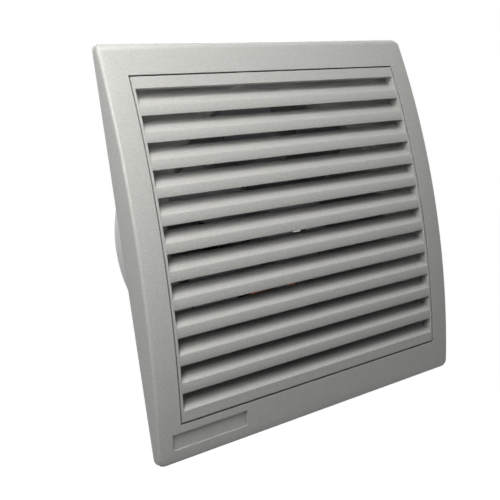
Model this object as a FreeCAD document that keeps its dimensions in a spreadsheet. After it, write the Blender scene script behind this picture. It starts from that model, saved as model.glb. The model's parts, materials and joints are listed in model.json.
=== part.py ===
import FreeCAD, Part
import math
import os
import re
import Sketcher
from FreeCAD import Placement, Rotation, Vector

# Louvred extractor fan for a 150 mm duct. Millimetres. The origin is on the spigot's axis in the
# wall plane: +Z is up, the room is towards -Y and the duct towards +Y.

os.makedirs("parts", exist_ok=True)
doc = FreeCAD.newDocument("extractor_fan")
sheet = doc.addObject("Spreadsheet::Sheet", "Sizes")

# Driving dimensions
SIZES = {
    # base plate, inlet and spigot
    "spigot_radius": 74.5,
    "spigot_wall": 2.0,
    "spigot_length": 58.0,
    "base_inset": 2.6,
    "base_thick": 2.0,
    "base_corner": 3.0,
    "bell_flare": 6.4,
    "bell_depth": 6.0,
    "bell_knee_out": 1.1,
    "bell_knee_deep": 1.4,
    "wall_screw_inset": 20.0,
    "wall_screw_hole": 2.3,
    "tab_width": 12.0,
    "tab_wall": 1.6,
    "tab_reach": 3.4,
    "tab_barb": 0.9,
    "tab_spread": 45.0,
    "snap_gap": 0.3,
    # front cover
    "panel_side": 25.5,
    "panel_end": 25.5,
    "corner_round": 4.0,
    "front_round": 1.6,
    "edge_depth": 4.2,
    "crown_rise": 11.2,
    "wall_gap": 3.0,
    "cover_wall": 2.2,
    "border_side": 12.7,
    "border_top": 17.1,
    "border_bottom": 17.5,
    "collar_wall": 1.8,
    "ledge_width": 1.7,
    "ledge_thick": 1.2,
    "ledge_gap": 0.2,
    "badge_width": 43.0,
    "badge_height": 7.8,
    "badge_depth": 1.4,
    "badge_left": 8.0,
    "badge_bottom": 6.2,
    "dimple_radius": 0.8,
    "dimple_depth": 0.8,
    "dimple_side": 21.3,
    "dimple_bottom": 8.2,
    # louvre grille
    "grille_gap": 0.8,
    "grille_rim": 1.3,
    "rim_depth": 4.8,
    "rail_top": 6.1,
    "rail_bottom": 5.6,
    "slat_count": 11,
    "lip_height": 5.1,
    "lip_set": 0.15,
    "blade_depth": 7.2,
    "blade_rise": 6.3,
    "blade_wall": 1.6,
    "blade_root": 0.2,
    # motor spider
    "spider_front": 14.0,
    "spider_thick": 3.0,
    "spider_radius": 28.0,
    "spider_bore": 9.0,
    "arm_width": 7.0,
    "weld_gap": 0.1,
    # impeller
    "hub_front": -8.5,
    "hub_rear": 11.5,
    "hub_radius": 23.0,
    "hub_wall": 2.0,
    "hub_nose": 3.0,
    "boss_radius": 5.5,
    "nut_recess": 7.0,
    "nut_seat": 3.4,
    "nut_flats": 8.0,
    "nut_sunk": 0.2,
    "fan_blades": 7,
    "tip_gap": 2.0,
    "fan_blade_thick": 1.8,
    "fan_blade_camber": 48.0,
    "fan_blade_pitch": 30.0,
    "fan_blade_skew": 22.5,
    "root_chord": 20.0,
    "tip_chord": 32.0,
    "fan_blade_centre": 4.8,
    # motor
    "shaft_radius": 2.5,
    "shaft_front": -8.8,
    "shaft_rear": 50.0,
    "rotor_radius": 12.0,
    "end_play": 0.3,
    "air_gap": 0.4,
    "stack_front": 26.0,
    "stack_thick": 16.0,
    "stack_width": 58.0,
    "stack_top": 17.0,
    "stack_bottom": 34.0,
    "limb_height": 10.0,
    "window_width": 34.0,
    "window_top": 15.6,
    "bobbin_wall": 1.0,
    "bobbin_gap": 0.15,
    "winding_build": 5.0,
    "flange_rise": 0.5,
    "bush_radius": 5.0,
    "bush_length": 7.0,
    "bush_gap": 0.03,
    "bracket_thick": 3.0,
    "bracket_width": 14.0,
    "bracket_length": 54.0,
    "bush_housing": 7.5,
    "post_width": 7.6,
    "motor_screw_spacing": 44.0,
    "motor_screw_radius": 1.75,
    "motor_screw_gap": 0.15,
    "motor_screw_flats": 6.0,
    "motor_screw_head": 2.6,
    # terminals and cable entry
    "strip_inset": 6.4,
    "terminal_low": -27.0,
    "terminal_cell": 8.6,
    "terminal_height": 9.6,
    "terminal_depth": 8.6,
    "terminal_count": 2,
    "insert_width": 5.0,
    "insert_length": 6.4,
    "insert_bore": 1.8,
    "insert_gap": 0.15,
    "well_radius": 1.9,
    "saddle_gap": 8.0,
    "saddle_width": 5.0,
    "saddle_height": 5.2,
    "saddle_span": 10.8,
    "cable_radius": 2.6,
    "grommet_gap": 6.9,
    "grommet_radius": 4.6,
    "grommet_bore": 3.2,
    "grommet_groove": 1.0,
    "grommet_flange": 1.2,
    # gravity shutter
    "shutter_front": 53.0,
    "shutter_thick": 2.4,
    "shutter_gap": 0.2,
    "flap_count": 5,
    "flap_pitch": 26.0,
    "flap_thick": 1.2,
    "flap_seat_gap": 0.3,
    "flap_overlap": 1.4,
    "flap_clear": 0.5,
    "flap_rise": 12.0,
    "pivot_radius": 1.2,
    "pivot_gap": 0.06,
    "lug_thick": 2.2,
    "lug_gap": 0.4,
    "lug_wall": 1.1,
    "lug_inset": 0.6,
    "lug_end_gap": 0.2,
    # how far a cutting tool runs past the face that it cuts
    "past": 1.0,
}

for row, (alias, number) in enumerate(SIZES.items(), 1):
    sheet.set(f"A{row}", alias)
    sheet.set(f"B{row}", str(number))
    sheet.setAlias(f"B{row}", alias)
doc.recompute()


def linked(text):
    """An expression in the sheet's words, as an object outside the sheet writes it."""
    return re.sub(r"[a-z][a-z_]+", lambda word: "Sizes." + word[0] if word[0] in SIZES else word[0], text)


def number_of(text):
    """What an expression in the sheet's words comes to."""
    result = sheet.evalExpression(text)
    return float(getattr(result, "Value", result))


def bind(item, **links):
    """Ties properties to expressions; a double underscore stands for a dot."""
    for name, text in links.items():
        item.setExpression(name.replace("__", "."), linked(text))


def origin_feature(body, role):
    """A body's own origin plane or axis."""
    for feature in body.Origin.OriginFeatures:
        if feature.Role == role:
            return feature


def new_body(label):
    body = doc.addObject("PartDesign::Body", label)
    body.Label = label
    return body


def new_sketch(body, plane):
    sketch = body.newObject("Sketcher::SketchObject", body.Name + "_sketch")
    sketch.AttachmentSupport = [(origin_feature(body, plane), "")]
    sketch.MapMode = "FlatFace"
    return sketch


def place_point(sketch, geometry, position, corner):
    """Holds a sketch point at a pair of expressions, measured from the sketch's origin."""
    for kind, text in zip(("DistanceX", "DistanceY"), corner):
        rule = Sketcher.Constraint(kind, -1, 1, geometry, position, number_of(text))
        index = sketch.addConstraint(rule)
        sketch.setExpression(f"Constraints[{index}]", linked(text))


def add_loop(sketch, corners):
    """A closed loop of corners. A corner (x, y, radius, turn) starts an arc to the next corner,
    with its centre on the left of the way there if turn is 1 and on the right if it is -1."""
    points = [Vector(number_of(corner[0]), number_of(corner[1]), 0) for corner in corners]
    ends = []
    for index, corner in enumerate(corners):
        start = points[index]
        end = points[(index + 1) % len(points)]
        if len(corner) == 2:
            geometry = sketch.addGeometry(Part.LineSegment(start, end))
            ends.append((geometry, 1, 2))
            continue
        radius = number_of(corner[2])
        turn = corner[3]
        half = (end - start) * 0.5
        across = Vector(-half.y, half.x, 0).normalize()
        centre = start + half + across * (turn * math.sqrt(radius ** 2 - half.Length ** 2))
        first, last = (start, end) if turn == 1 else (end, start)
        angles = [math.atan2(point.y - centre.y, point.x - centre.x) for point in (first, last)]
        circle = Part.Circle(centre, Vector(0, 0, 1), radius)
        geometry = sketch.addGeometry(Part.ArcOfCircle(circle, angles[0], angles[1]))
        ends.append((geometry, 1, 2) if turn == 1 else (geometry, 2, 1))
        rule = sketch.addConstraint(Sketcher.Constraint("Radius", geometry, radius))
        sketch.setExpression(f"Constraints[{rule}]", linked(corner[2]))
    for index, (geometry, start, end) in enumerate(ends):
        following = ends[(index + 1) % len(ends)]
        sketch.addConstraint(Sketcher.Constraint("Coincident", geometry, end, following[0], following[1]))
        place_point(sketch, geometry, start, corners[index][:2])


def add_circle(sketch, across, up, radius):
    """A circle whose centre and radius are expressions."""
    centre = Vector(number_of(across), number_of(up), 0)
    geometry = sketch.addGeometry(Part.Circle(centre, Vector(0, 0, 1), number_of(radius)))
    rule = sketch.addConstraint(Sketcher.Constraint("Radius", geometry, number_of(radius)))
    sketch.setExpression(f"Constraints[{rule}]", linked(radius))
    place_point(sketch, geometry, 3, (across, up))


def rectangle(left, right, low, high):
    return [(left, low), (right, low), (right, high), (left, high)]


def feature(body, kind, sketch, **links):
    """A pad, pocket, revolution or groove of a sketch, with its sizes tied to the sheet."""
    item = body.newObject("PartDesign::" + kind, body.Name + "_" + kind.lower())
    item.Profile = sketch
    bind(item, **links)
    return item


def slab(body, kind, loops, front, rear, circles=()):
    """A pad or pocket of XZ outlines between two places along Y."""
    sketch = new_sketch(body, "XZ_Plane")
    for loop in loops:
        add_loop(sketch, loop)
    for circle in circles:
        add_circle(sketch, *circle)
    sketch.AttachmentOffset = Placement(Vector(0, 0, -number_of(front)), Rotation())
    bind(sketch, AttachmentOffset__Base__z=f"-({front})")
    item = feature(body, kind, sketch, Length=f"({rear}) - ({front})")
    item.Reversed = kind == "Pad"
    return item


def turned(label, profile):
    """A body turned about the Y axis from an outline of (radius, y) corners."""
    body = new_body(label)
    sketch = new_sketch(body, "XY_Plane")
    add_loop(sketch, profile)
    turn = feature(body, "Revolution", sketch, Angle="360")
    turn.ReferenceAxis = (sketch, ["V_Axis"])
    return body


def ring(inner, outer, front, rear):
    return [(inner, front), (outer, front), (outer, rear), (inner, rear)]


def box(name, left, right, front, rear, low, high):
    """A box between two places along each axis."""
    item = doc.addObject("Part::Box", name)
    bind(item, Length=f"({right}) - ({left})", Width=f"({rear}) - ({front})", Height=f"({high}) - ({low})")
    bind(item, Placement__Base__x=left, Placement__Base__y=front, Placement__Base__z=low)
    return item


def rod(name, radius, front, rear, across="0", up="0"):
    """A cylinder along Y between two places."""
    item = doc.addObject("Part::Cylinder", name)
    item.Placement = Placement(Vector(), Rotation(Vector(1, 0, 0), -90))
    bind(item, Radius=radius, Height=f"({rear}) - ({front})")
    bind(item, Placement__Base__x=across, Placement__Base__y=front, Placement__Base__z=up)
    return item


def cross_rod(name, radius, left, right, along, up):
    """A cylinder along X between two places."""
    item = doc.addObject("Part::Cylinder", name)
    item.Placement = Placement(Vector(), Rotation(Vector(0, 1, 0), 90))
    bind(item, Radius=radius, Height=f"({right}) - ({left})")
    bind(item, Placement__Base__x=left, Placement__Base__y=along, Placement__Base__z=up)
    return item


def upright_rod(name, radius, low, high, across, along):
    """A cylinder along Z between two places."""
    item = doc.addObject("Part::Cylinder", name)
    bind(item, Radius=radius, Height=f"({high}) - ({low})")
    bind(item, Placement__Base__x=across, Placement__Base__y=along, Placement__Base__z=low)
    return item


def hexagon(name, flats, front, rear, across="0"):
    """A hexagonal prism along Y, by its width across flats."""
    item = doc.addObject("Part::Prism", name)
    item.Polygon = 6
    item.Placement = Placement(Vector(), Rotation(Vector(1, 0, 0), -90))
    bind(item, Circumradius=f"{flats} / sqrt(3)", Height=f"({rear}) - ({front})")
    bind(item, Placement__Base__x=across, Placement__Base__y=front)
    return item


def fused(name, shapes):
    item = doc.addObject("Part::MultiFuse", name)
    item.Shapes = shapes
    item.Refine = True
    return item


def cut(name, base, tools):
    item = doc.addObject("Part::Cut", name)
    item.Base = base
    item.Tool = tools[0] if len(tools) == 1 else fused(name + "_tools", tools)
    item.Refine = True
    return item


def common(name, shapes):
    item = doc.addObject("Part::MultiCommon", name)
    item.Shapes = shapes
    return item


def group(name, shapes, axis=None, angle=0):
    """Separate solids as one object, turned about an axis through the origin if one is given."""
    item = doc.addObject("Part::Compound", name)
    item.Links = shapes
    if axis:
        item.Placement = Placement(Vector(), Rotation(axis, angle))
    return item


nodes = []


def keep(item, label):
    """Names an object as one of the part's own pieces."""
    item.Label = label
    nodes.append(item)
    return item


# Crown of the front: an arc in side view, the same at every width. Its axis is parallel to X.
HALF_W = "(spigot_radius + panel_side)"
HALF_H = "(spigot_radius + panel_end)"
BACK = "(-wall_gap)"
CROWN_RADIUS = f"(({HALF_H} ^ 2 + crown_rise ^ 2) / (2 * crown_rise))"
FRONT = "(-(wall_gap + edge_depth + crown_rise))"
AXIS_Y = f"({FRONT} + {CROWN_RADIUS})"


def on_crown(depth, up):
    """How far back a surface at a depth behind the crown lies at a height."""
    radius = f"({CROWN_RADIUS} - ({depth}))"
    return f"({AXIS_Y} - sqrt({radius} ^ 2 - ({up}) ^ 2))"


def crowned(body, kind, left, right, low, high, depth, back=None, back_depth=None):
    """A pad or pocket along X whose front follows the crown at a depth behind it. Its back is
    flat, at a place along Y, or follows the crown too."""
    sketch = new_sketch(body, "YZ_Plane")
    front_radius = f"{CROWN_RADIUS} - ({depth})"
    if back is None:
        back_radius = f"{CROWN_RADIUS} - ({back_depth})"
        rear = [(on_crown(back_depth, high), high, back_radius, 1), (on_crown(back_depth, low), low)]
    else:
        rear = [(back, high), (back, low)]
    front = [(on_crown(depth, low), low, front_radius, -1), (on_crown(depth, high), high)]
    add_loop(sketch, front + rear)
    sketch.AttachmentOffset = Placement(Vector(0, 0, number_of(left)), Rotation())
    bind(sketch, AttachmentOffset__Base__z=left)
    item = feature(body, kind, sketch, Length=f"({right}) - ({left})")
    item.Reversed = kind == "Pocket"
    return item


def edges_where(item, test):
    """Names of the edges of a feature that pass a test."""
    doc.recompute()
    return [f"Edge{index}" for index, edge in enumerate(item.Shape.Edges, 1) if test(edge)]


def is_corner(edge):
    """True for the four outer edges along Y of a square plate or block."""
    size = edge.BoundBox
    along_y = size.YLength > number_of("past") and size.XLength < 0.01 and size.ZLength < 0.01
    return along_y and len(edge.Curve.discretize(2)) == 2


def rounded(body, kind, item, names, **links):
    """A fillet or chamfer on some edges of a feature."""
    finish = body.newObject("PartDesign::" + kind, body.Name + "_" + kind.lower())
    finish.Base = (item, names)
    bind(finish, **links)
    body.Tip = finish
    return finish


# Front cover: a crowned shell, open at the back, with a collar and a ledge round the opening.
cover = new_body("front_cover")
OPEN_X = f"({HALF_W} - border_side)"
OPEN_LOW = f"(border_bottom - {HALF_H})"
OPEN_HIGH = f"({HALF_H} - border_top)"
block = crowned(cover, "Pad", f"-{HALF_W}", HALF_W, f"-{HALF_H}", HALF_H, "0", back=BACK)
corners = rounded(cover, "Fillet", block, edges_where(block, is_corner), Radius="corner_round")
face_limit = number_of(f"{BACK} - edge_depth / 2")
rounded(cover, "Fillet", corners, edges_where(corners, lambda edge: edge.BoundBox.YMax < face_limit),
        Radius="front_round")
INNER_W = f"({HALF_W} - cover_wall)"
INNER_H = f"({HALF_H} - cover_wall)"
crowned(cover, "Pocket", f"-{INNER_W}", INNER_W, f"-{INNER_H}", INNER_H, "cover_wall", back=f"{BACK} + past")
LEDGE_DEPTH = "(rim_depth + ledge_gap)"
collar_right = f"({OPEN_X} + collar_wall)"
crowned(cover, "Pad", f"-{collar_right}", collar_right, f"({OPEN_LOW} - collar_wall)",
        f"({OPEN_HIGH} + collar_wall)", "cover_wall / 2", back_depth=f"{LEDGE_DEPTH} + ledge_thick")
crowned(cover, "Pocket", f"-{OPEN_X}", OPEN_X, OPEN_LOW, OPEN_HIGH, "-past", back_depth=LEDGE_DEPTH)
WINDOW_X = f"({OPEN_X} - ledge_width)"
slab(cover, "Pocket", [rectangle(f"-{WINDOW_X}", WINDOW_X, f"{OPEN_LOW} + ledge_width",
                                 f"{OPEN_HIGH} - ledge_width")], FRONT, BACK)
BADGE_LEFT = f"(badge_left - {HALF_W})"
BADGE_LOW = f"(badge_bottom - {HALF_H})"
crowned(cover, "Pocket", BADGE_LEFT, f"{BADGE_LEFT} + badge_width", BADGE_LOW,
        f"{BADGE_LOW} + badge_height", "-past", back_depth="badge_depth")
DIMPLE_X = f"({HALF_W} - dimple_side)"
DIMPLE_Z = f"(dimple_bottom - {HALF_H})"
dimple_floor = f"{on_crown('0', DIMPLE_Z)} + dimple_depth"
slab(cover, "Pocket", [], FRONT, dimple_floor, circles=[(DIMPLE_X, DIMPLE_Z, "dimple_radius")])
# Snap lugs on the side walls, behind the barbs of the base plate's tabs.
BARB_REAR = "(-(base_thick + tab_reach - tab_barb))"
for side in (-1, 1):
    for height in ("-tab_spread", "tab_spread"):
        inner = f"{side} * ({INNER_W} - tab_barb)"
        outer = f"{side} * ({INNER_W} + cover_wall / 2)"
        left, right = (inner, outer) if side == 1 else (outer, inner)
        slab(cover, "Pad", [rectangle(left, right, f"{height} - tab_width / 2", f"{height} + tab_width / 2")],
             f"{BARB_REAR} + snap_gap", BACK)
keep(cover, "front_cover")

# Louvre grille: one moulding. Its front lips follow the crown, its blades rise towards the back.
RIM_X = f"({OPEN_X} - grille_gap)"
SLAT_X = f"({RIM_X} - grille_rim)"
GRILLE_LOW = f"({OPEN_LOW} + grille_gap)"
GRILLE_HIGH = f"({OPEN_HIGH} - grille_gap)"
GAPS_LOW = f"({GRILLE_LOW} + rail_bottom)"
GAPS_HIGH = f"({GRILLE_HIGH} - rail_top)"
PITCH = f"(({GAPS_HIGH} - {GAPS_LOW} + lip_height) / (slat_count + 1))"
rim = new_body("grille_rim_ring")
crowned(rim, "Pad", f"-{RIM_X}", RIM_X, GRILLE_LOW, GRILLE_HIGH, "0", back_depth="rim_depth")
slab(rim, "Pocket", [rectangle(f"-{SLAT_X}", SLAT_X, GAPS_LOW, GAPS_HIGH)], FRONT, BACK)
slats = new_body("grille_slats")
slat_sketch = new_sketch(slats, "YZ_Plane")
BLADE_DROP = "(blade_wall * sqrt(1 + (blade_rise / blade_depth) ^ 2))"
for index in range(SIZES["slat_count"] + 1):
    lip_low = f"({GAPS_LOW} - lip_height + {index} * {PITCH})"
    lip_high = f"({lip_low} + lip_height)"
    blade_rear = f"({on_crown('lip_set', lip_high)} + blade_depth)"
    add_loop(slat_sketch, [
        (on_crown("lip_set", lip_low), lip_low),
        (blade_rear, f"{lip_high} + blade_rise - {BLADE_DROP}"),
        (blade_rear, f"{lip_high} + blade_rise"),
        (on_crown("lip_set", lip_high), lip_high),
    ])
feature(slats, "Pad", slat_sketch, Length=f"2 * ({SLAT_X} + blade_root)").Midplane = True
keep(fused("louvre_grille", [rim, slats]), "louvre_grille")

# Base plate: a flat moulding on the wall, open round the spigot, with tabs that hold the cover.
BASE_X = f"({HALF_W} - base_inset)"
BASE_Z = f"({HALF_H} - base_inset)"
BASE_FRONT = "(-base_thick)"
SPIGOT_IN = "(spigot_radius - spigot_wall)"
BELL_OUT = f"({SPIGOT_IN} + bell_flare)"
STRIP_X = f"(strip_inset - {BASE_X})"
SPIDER_REAR = "(spider_front + spider_thick)"
BLOCK_HIGH = "(terminal_low + terminal_cell * terminal_count)"
SADDLE_Z = f"({BLOCK_HIGH} + saddle_gap + saddle_width / 2)"
GROMMET_Z = f"({SADDLE_Z} + saddle_width / 2 + grommet_gap + grommet_radius)"
base = new_body("base_slab")
plate = slab(base, "Pad", [rectangle(f"-{BASE_X}", BASE_X, f"-{BASE_Z}", BASE_Z)], BASE_FRONT, "0",
             circles=[("0", "0", f"{BELL_OUT} + weld_gap")])
rounded(base, "Fillet", plate, edges_where(plate, is_corner), Radius="base_corner")
screw_x = f"({HALF_W} - wall_screw_inset)"
screw_z = f"({HALF_H} - wall_screw_inset)"
holes = [(f"{across} * {screw_x}", f"{up} * {screw_z}") for across in (-1, 1) for up in (-1, 1)]
slab(base, "Pocket", [], BASE_FRONT, "past", circles=[hole + ("wall_screw_hole",) for hole in holes])
slab(base, "Pocket", [], BASE_FRONT, "past", circles=[(STRIP_X, GROMMET_Z, "grommet_radius - grommet_groove")])
tabs = []
for side in (-1, 1):
    for index, height in enumerate(("-tab_spread", "tab_spread")):
        tab = new_body(f"cover_tab_{side + 2}_{index + 1}")
        wall_out = f"({INNER_W} - tab_barb - snap_gap)"
        tab_front = "(-(base_thick + tab_reach))"
        foot = f"({BASE_FRONT} + base_thick / 2)"
        sketch = new_sketch(tab, "XY_Plane")
        add_loop(sketch, [
            (f"{side} * {wall_out}", foot),
            (f"{side} * {wall_out}", BARB_REAR),
            (f"{side} * ({wall_out} + tab_barb)", BARB_REAR),
            (f"{side} * {wall_out}", tab_front),
            (f"{side} * ({wall_out} - tab_wall)", tab_front),
            (f"{side} * ({wall_out} - tab_wall)", foot),
        ])
        feature(tab, "Pad", sketch, Length="tab_width").Midplane = True
        bind(tab, Placement__Base__z=height)
        tabs.append(tab)
keep(fused("base_plate", [base] + tabs), "base_plate")

# Spigot: a tube that flares into a shallow bell mouth, welded into the base plate's opening.
spigot = turned("spigot_tube", [
    (BELL_OUT, BASE_FRONT),
    (BELL_OUT, "0"),
    ("spigot_radius", "0"),
    ("spigot_radius", "spigot_length"),
    (SPIGOT_IN, "spigot_length"),
    (SPIGOT_IN, f"{BASE_FRONT} + bell_depth"),
    (f"{SPIGOT_IN} + bell_knee_out", f"{BASE_FRONT} + bell_knee_deep"),
])
keep(spigot, "spigot_tube")

# Motor spider: a plate on four arms, which are welded to the inside of the spigot.
SCREW_X = "(motor_screw_spacing / 2)"
ARM_END = f"sqrt(({SPIGOT_IN} - weld_gap) ^ 2 - (arm_width / 2) ^ 2)"
arms = []
for index in range(4):
    arm = box(f"spider_arm_{index + 1}", "spider_radius - spider_thick", ARM_END, "spider_front",
              SPIDER_REAR, "-arm_width / 2", "arm_width / 2")
    arms.append(group(f"spider_arm_turned_{index + 1}", [arm], Vector(0, 1, 0), 45 + 90 * index))
spider_plate = turned("spider_plate", ring("spider_bore", "spider_radius", "spider_front", SPIDER_REAR))
pilots = [rod(f"motor_screw_pilot_{side + 2}", "motor_screw_radius", "spider_front - past",
              f"{SPIDER_REAR} + past", f"{side} * {SCREW_X}") for side in (-1, 1)]
keep(cut("motor_spider", fused("spider_solid", [spider_plate] + arms), pilots), "motor_spider")

# Impeller: a cup-shaped hub with a nut recess, a central boss and twisted blades.
hub = turned("impeller_hub", [
    ("shaft_radius", "hub_front + nut_seat"),
    ("nut_recess", "hub_front + nut_seat"),
    ("nut_recess", "hub_front"),
    ("hub_radius - hub_nose", "hub_front"),
    ("hub_radius", "hub_front + hub_nose"),
    ("hub_radius", "hub_rear"),
    ("hub_radius - hub_wall", "hub_rear"),
    ("hub_radius - hub_wall", "hub_front + nut_seat + hub_wall"),
    ("boss_radius", "hub_front + nut_seat + hub_wall"),
    ("boss_radius", "hub_rear"),
    ("shaft_radius", "hub_rear"),
])
TIP = f"({SPIGOT_IN} - tip_gap)"
HUB_MIDWALL = "(hub_radius - hub_wall / 2)"
MID_SPAN = f"((hub_radius + {TIP}) / 2)"


def camber_roll(name, radius):
    """A roll that a blade is bent round. It leans along the chord, so that the pitch eases
    from the root to the tip."""
    item = doc.addObject("Part::Cylinder", name)
    item.Placement = Placement(Vector(), Rotation(Vector(0, 1, 0), 90 + number_of("fan_blade_skew")))
    bind(item, Radius=radius, Height=f"({TIP} + hub_radius) / cos(fan_blade_skew)")
    bind(item, Placement__Base__y="-fan_blade_camber", Placement__Base__z=f"{MID_SPAN} * tan(fan_blade_skew)")
    bind(item, Placement__Rotation__Angle="90 + fan_blade_skew")
    return item


sheet_outside = camber_roll("fan_blade_outside", "fan_blade_camber + fan_blade_thick / 2")
sheet_inside = camber_roll("fan_blade_inside", "fan_blade_camber - fan_blade_thick / 2")
plan = new_body("fan_blade_plan")
plan_sketch = new_sketch(plan, "XZ_Plane")
add_loop(plan_sketch, [
    ("boss_radius", "-root_chord / 2"),
    (HUB_MIDWALL, "-root_chord / 2"),
    (f"{TIP} + past", "-tip_chord / 2"),
    (f"{TIP} + past", "tip_chord / 2"),
    (HUB_MIDWALL, "root_chord / 2"),
    ("boss_radius", "root_chord / 2"),
])
feature(plan, "Pad", plan_sketch, Length="fan_blade_camber").Midplane = True
flat_blade = common("fan_blade_flat", [cut("fan_blade_sheet", sheet_outside, [sheet_inside]), plan])
pitched = group("fan_blade_pitched", [flat_blade])
pitched.Placement = Placement(Vector(), Rotation(Vector(1, 0, 0), -number_of("fan_blade_pitch")))
bind(pitched, Placement__Base__y="fan_blade_centre", Placement__Rotation__Angle="-fan_blade_pitch")
span = turned("fan_blade_span", ring(HUB_MIDWALL, TIP, "hub_front", "hub_rear"))
blade = common("fan_blade", [pitched, span])
blades = []
for index in range(SIZES["fan_blades"]):
    angle = 360 * index / SIZES["fan_blades"]
    blades.append(group(f"fan_blade_turned_{index + 1}", [blade], Vector(0, 1, 0), angle))
keep(fused("impeller", [hub] + blades), "impeller")

# Impeller nut: a hexagon nut in the hub's recess.
nut_solid = hexagon("nut_solid", "nut_flats", "hub_front + nut_sunk", "hub_front + nut_seat")
nut_bore = rod("nut_bore", "shaft_radius", "hub_front - past", "hub_front + nut_seat + past")
keep(cut("impeller_nut", nut_solid, [nut_bore]), "impeller_nut")

# Motor shaft: ground steel rod.
keep(rod("motor_shaft", "shaft_radius", "shaft_front", "shaft_rear"), "motor_shaft")

# Rotor: a squirrel cage cast round a steel stack and pressed on the shaft.
STACK_REAR = "(stack_front + stack_thick)"
keep(turned("rotor_core", ring("shaft_radius", "rotor_radius", "stack_front + end_play",
                               f"{STACK_REAR} - end_play")), "rotor_core")

# Stator: a stack of laminations with the rotor's bore, a window and the coil's limb.
STACK_X = "(stack_width / 2)"
LIMB_TOP = "(limb_height - stack_bottom)"
SCREW_HOLE = "(motor_screw_radius + motor_screw_gap)"
stator = new_body("stator_core")
slab(stator, "Pad", [rectangle(f"-{STACK_X}", STACK_X, "-stack_bottom", "stack_top")], "stack_front",
     STACK_REAR, circles=[
         ("0", "0", "rotor_radius + air_gap"),
         (f"-{SCREW_X}", "0", SCREW_HOLE),
         (SCREW_X, "0", SCREW_HOLE),
     ])
slab(stator, "Pocket", [rectangle("-window_width / 2", "window_width / 2", LIMB_TOP, "-window_top")],
     "stack_front", STACK_REAR)
keep(stator, "stator_core")

# Coil bobbin: a plastic spool on the limb, with two flanges.
BOBBIN_X = "(window_width / 2 - bobbin_gap)"
SLEEVE_LOW = "(-(stack_bottom + bobbin_gap + bobbin_wall))"
SLEEVE_HIGH = f"({LIMB_TOP} + bobbin_gap + bobbin_wall)"
SLEEVE_FRONT = "(stack_front - bobbin_gap - bobbin_wall)"
SLEEVE_REAR = f"({STACK_REAR} + bobbin_gap + bobbin_wall)"
FLANGE = "(winding_build + flange_rise)"
sleeve = box("bobbin_sleeve", f"-{BOBBIN_X}", BOBBIN_X, SLEEVE_FRONT, SLEEVE_REAR, SLEEVE_LOW, SLEEVE_HIGH)
flanges = []
for side, (left, right) in enumerate(((f"-{BOBBIN_X}", f"-{BOBBIN_X} + bobbin_wall"),
                                      (f"{BOBBIN_X} - bobbin_wall", BOBBIN_X))):
    flanges.append(box(f"bobbin_flange_{side + 1}", left, right, f"{SLEEVE_FRONT} - {FLANGE}",
                       f"{SLEEVE_REAR} + {FLANGE}", f"{SLEEVE_LOW} - {FLANGE}", f"{SLEEVE_HIGH} + {FLANGE}"))
limb_hole = box("bobbin_hole", f"-{BOBBIN_X} - past", f"{BOBBIN_X} + past", "stack_front - bobbin_gap",
                f"{STACK_REAR} + bobbin_gap", "-(stack_bottom + bobbin_gap)", f"{LIMB_TOP} + bobbin_gap")
keep(cut("coil_bobbin", fused("bobbin_solid", [sleeve] + flanges), [limb_hole]), "coil_bobbin")

# Coil winding: the copper between the flanges, with rounded corners.
winding = new_body("coil_winding")
wind_sketch = new_sketch(winding, "YZ_Plane")
add_loop(wind_sketch, rectangle(f"{SLEEVE_FRONT} - winding_build", f"{SLEEVE_REAR} + winding_build",
                                f"{SLEEVE_LOW} - winding_build", f"{SLEEVE_HIGH} + winding_build"))
add_loop(wind_sketch, rectangle(SLEEVE_FRONT, SLEEVE_REAR, SLEEVE_LOW, SLEEVE_HIGH))
wind_pad = feature(winding, "Pad", wind_sketch, Length=f"2 * ({BOBBIN_X} - bobbin_wall)")
wind_pad.Midplane = True
sleeve_front = number_of(f"{SLEEVE_FRONT} - winding_build / 2")
sleeve_rear = number_of(f"{SLEEVE_REAR} + winding_build / 2")
rounded(winding, "Fillet", wind_pad, edges_where(wind_pad, lambda edge: edge.BoundBox.XLength > 1
        and (edge.BoundBox.YMax < sleeve_front or edge.BoundBox.YMin > sleeve_rear)), Radius="winding_build * 0.6")
keep(winding, "coil_winding")

# Bearing brackets: cast bars with a boss for the bush, on posts in front and flat behind.
BRACKET_X = "(bracket_length / 2)"
FRONT_BAR = "(stack_front - bracket_thick)"
BUSH_FRONT = "(stack_front - bush_length)"
REAR_BAR = f"({STACK_REAR} + bracket_thick)"
BUSH_REAR = f"({STACK_REAR} + bush_length)"


def bracket(label, bar_front, bar_rear, boss_front, boss_rear, posts):
    """A bracket's bar and boss, with its posts, bored for the bush and the motor screws."""
    bar = box(label + "_bar", f"-{BRACKET_X}", BRACKET_X, bar_front, bar_rear, "-bracket_width / 2",
              "bracket_width / 2")
    boss = box(label + "_boss", "-bush_housing", "bush_housing", boss_front, boss_rear, "-bush_housing",
               "bush_housing")
    seat = rod(label + "_seat", "bush_radius", f"{boss_front} - past", f"{boss_rear} + past")
    screw_ways = [rod(f"{label}_hole_{side + 2}", SCREW_HOLE, f"{SPIDER_REAR} - past", f"{REAR_BAR} + past",
                      f"{side} * {SCREW_X}") for side in (-1, 1)]
    keep(cut(label, fused(label + "_solid", [bar, boss] + posts), [seat] + screw_ways), label)


front_posts = [box(f"front_post_{side + 2}", f"{side} * {SCREW_X} - post_width / 2",
                   f"{side} * {SCREW_X} + post_width / 2", SPIDER_REAR, "stack_front", "-post_width / 2",
                   "post_width / 2") for side in (-1, 1)]
bracket("front_bearing_bracket", FRONT_BAR, "stack_front", BUSH_FRONT, "stack_front", front_posts)
bracket("rear_bearing_bracket", STACK_REAR, REAR_BAR, STACK_REAR, BUSH_REAR, [])

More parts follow.
